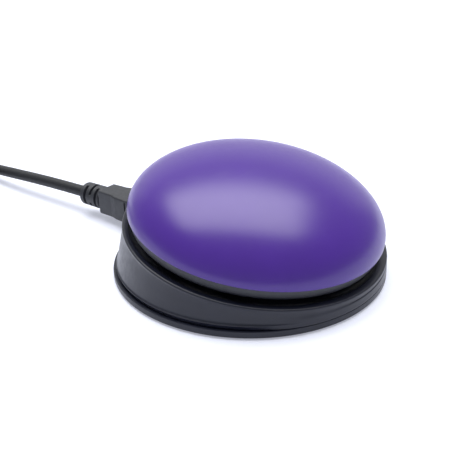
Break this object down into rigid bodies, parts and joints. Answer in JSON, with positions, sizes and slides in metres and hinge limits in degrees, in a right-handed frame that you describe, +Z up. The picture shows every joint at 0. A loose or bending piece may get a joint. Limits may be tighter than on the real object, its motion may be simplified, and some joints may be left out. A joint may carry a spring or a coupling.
{
  "type": "quiz buzzer",
  "caption": "Palm-sized quiz buzzer: a violet dome that presses down on springs in a low black round base that slopes to the front, with a USB lead plugged into its back.",
  "frame": {"origin": "On the floor under the middle of the round base plate.", "axes": "+Z up. +Y to the rear, where the lead goes in and the top is highest. +X to the right seen from the front."},
  "size_m": [0.1299, 0.278, 0.0431],
  "materials": {
    "black_plastic": "satin black ABS with a faint blue cast",
    "purple_plastic": "smooth semi-gloss violet ABS",
    "black_rubber": "matte anti-slip rubber",
    "plated_steel": "zinc plated steel",
    "spring_steel": "drawn spring wire",
    "tinned_shell": "tinned or nickel plated sheet",
    "white_nylon": "white moulded nylon",
    "solder_mask": "green solder mask over glass epoxy",
    "chip_epoxy": "black moulded epoxy",
    "capacitor_sleeve": "dark blue shrunk sleeve",
    "switch_plastic": "dark moulded plastic",
    "switch_button_plastic": "red moulded plastic",
    "black_vinyl": "soft satin black vinyl",
    "tie_plastic": "black woven hook-and-loop tape"
  },
  "bodies": {
    "base": {"base_plate": "black_plastic", "housing": "black_plastic", "foot_1": "black_rubber", "foot_2": "black_rubber", "foot_3": "black_rubber", "foot_4": "black_rubber", "housing_screw_1": "plated_steel", "housing_screw_2": "plated_steel", "housing_screw_3": "plated_steel", "housing_screw_4": "plated_steel", "return_spring_1": "spring_steel", "return_spring_2": "spring_steel", "return_spring_3": "spring_steel", "circuit_board": "solder_mask", "controller_chip": "chip_epoxy", "crystal": "tinned_shell", "capacitor_1": "capacitor_sleeve", "capacitor_2": "capacitor_sleeve", "switch_body": "switch_plastic", "usb_socket_shell": "tinned_shell", "usb_socket_tongue": "white_nylon", "usb_plug_boot": "black_vinyl", "usb_plug_shell": "tinned_shell", "usb_plug_insulator": "white_nylon", "plug_strain_relief": "black_vinyl", "cable": "black_vinyl", "cable_coil": "black_vinyl", "cable_tail": "black_vinyl", "cable_tie": "tie_plastic", "host_plug_boot": "black_vinyl", "host_strain_relief": "black_vinyl", "host_plug_shell": "tinned_shell", "host_plug_tongue": "white_nylon"},
    "cap": {"dome_cap": "purple_plastic", "cap_carrier": "black_plastic", "guide_washer_1": "plated_steel", "guide_washer_2": "plated_steel", "guide_washer_3": "plated_steel", "guide_screw_1": "plated_steel", "guide_screw_2": "plated_steel", "guide_screw_3": "plated_steel"},
    "lever": {"switch_lever": "plated_steel"},
    "button": {"switch_button": "switch_button_plastic"}
  },
  "joints": [
    {"name": "dome_press", "type": "slide", "parent": "base", "child": "cap", "axis": [0, 0.1564, -0.9877], "range_m": [0, 0.0022], "stiffness_N_per_m": 1200, "springref_m": -0.0012, "deforming": ["return_spring_1", "return_spring_2", "return_spring_3"]},
    {"name": "lever_turn", "type": "hinge", "parent": "base", "child": "lever", "pos_m": [-0.0055, -0.0025, 0.0109], "axis": [0, 1, 0], "range_deg": [0, 13]},
    {"name": "button_press", "type": "slide", "parent": "base", "child": "button", "axis": [0, 0, -1], "range_m": [0, 0.00067]}
  ],
  "couplings": [
    {"joint": "lever_turn", "follows": "dome_press", "rad_per_m": 102.34},
    {"joint": "button_press", "follows": "dome_press", "ratio": 0.2955}
  ]
}
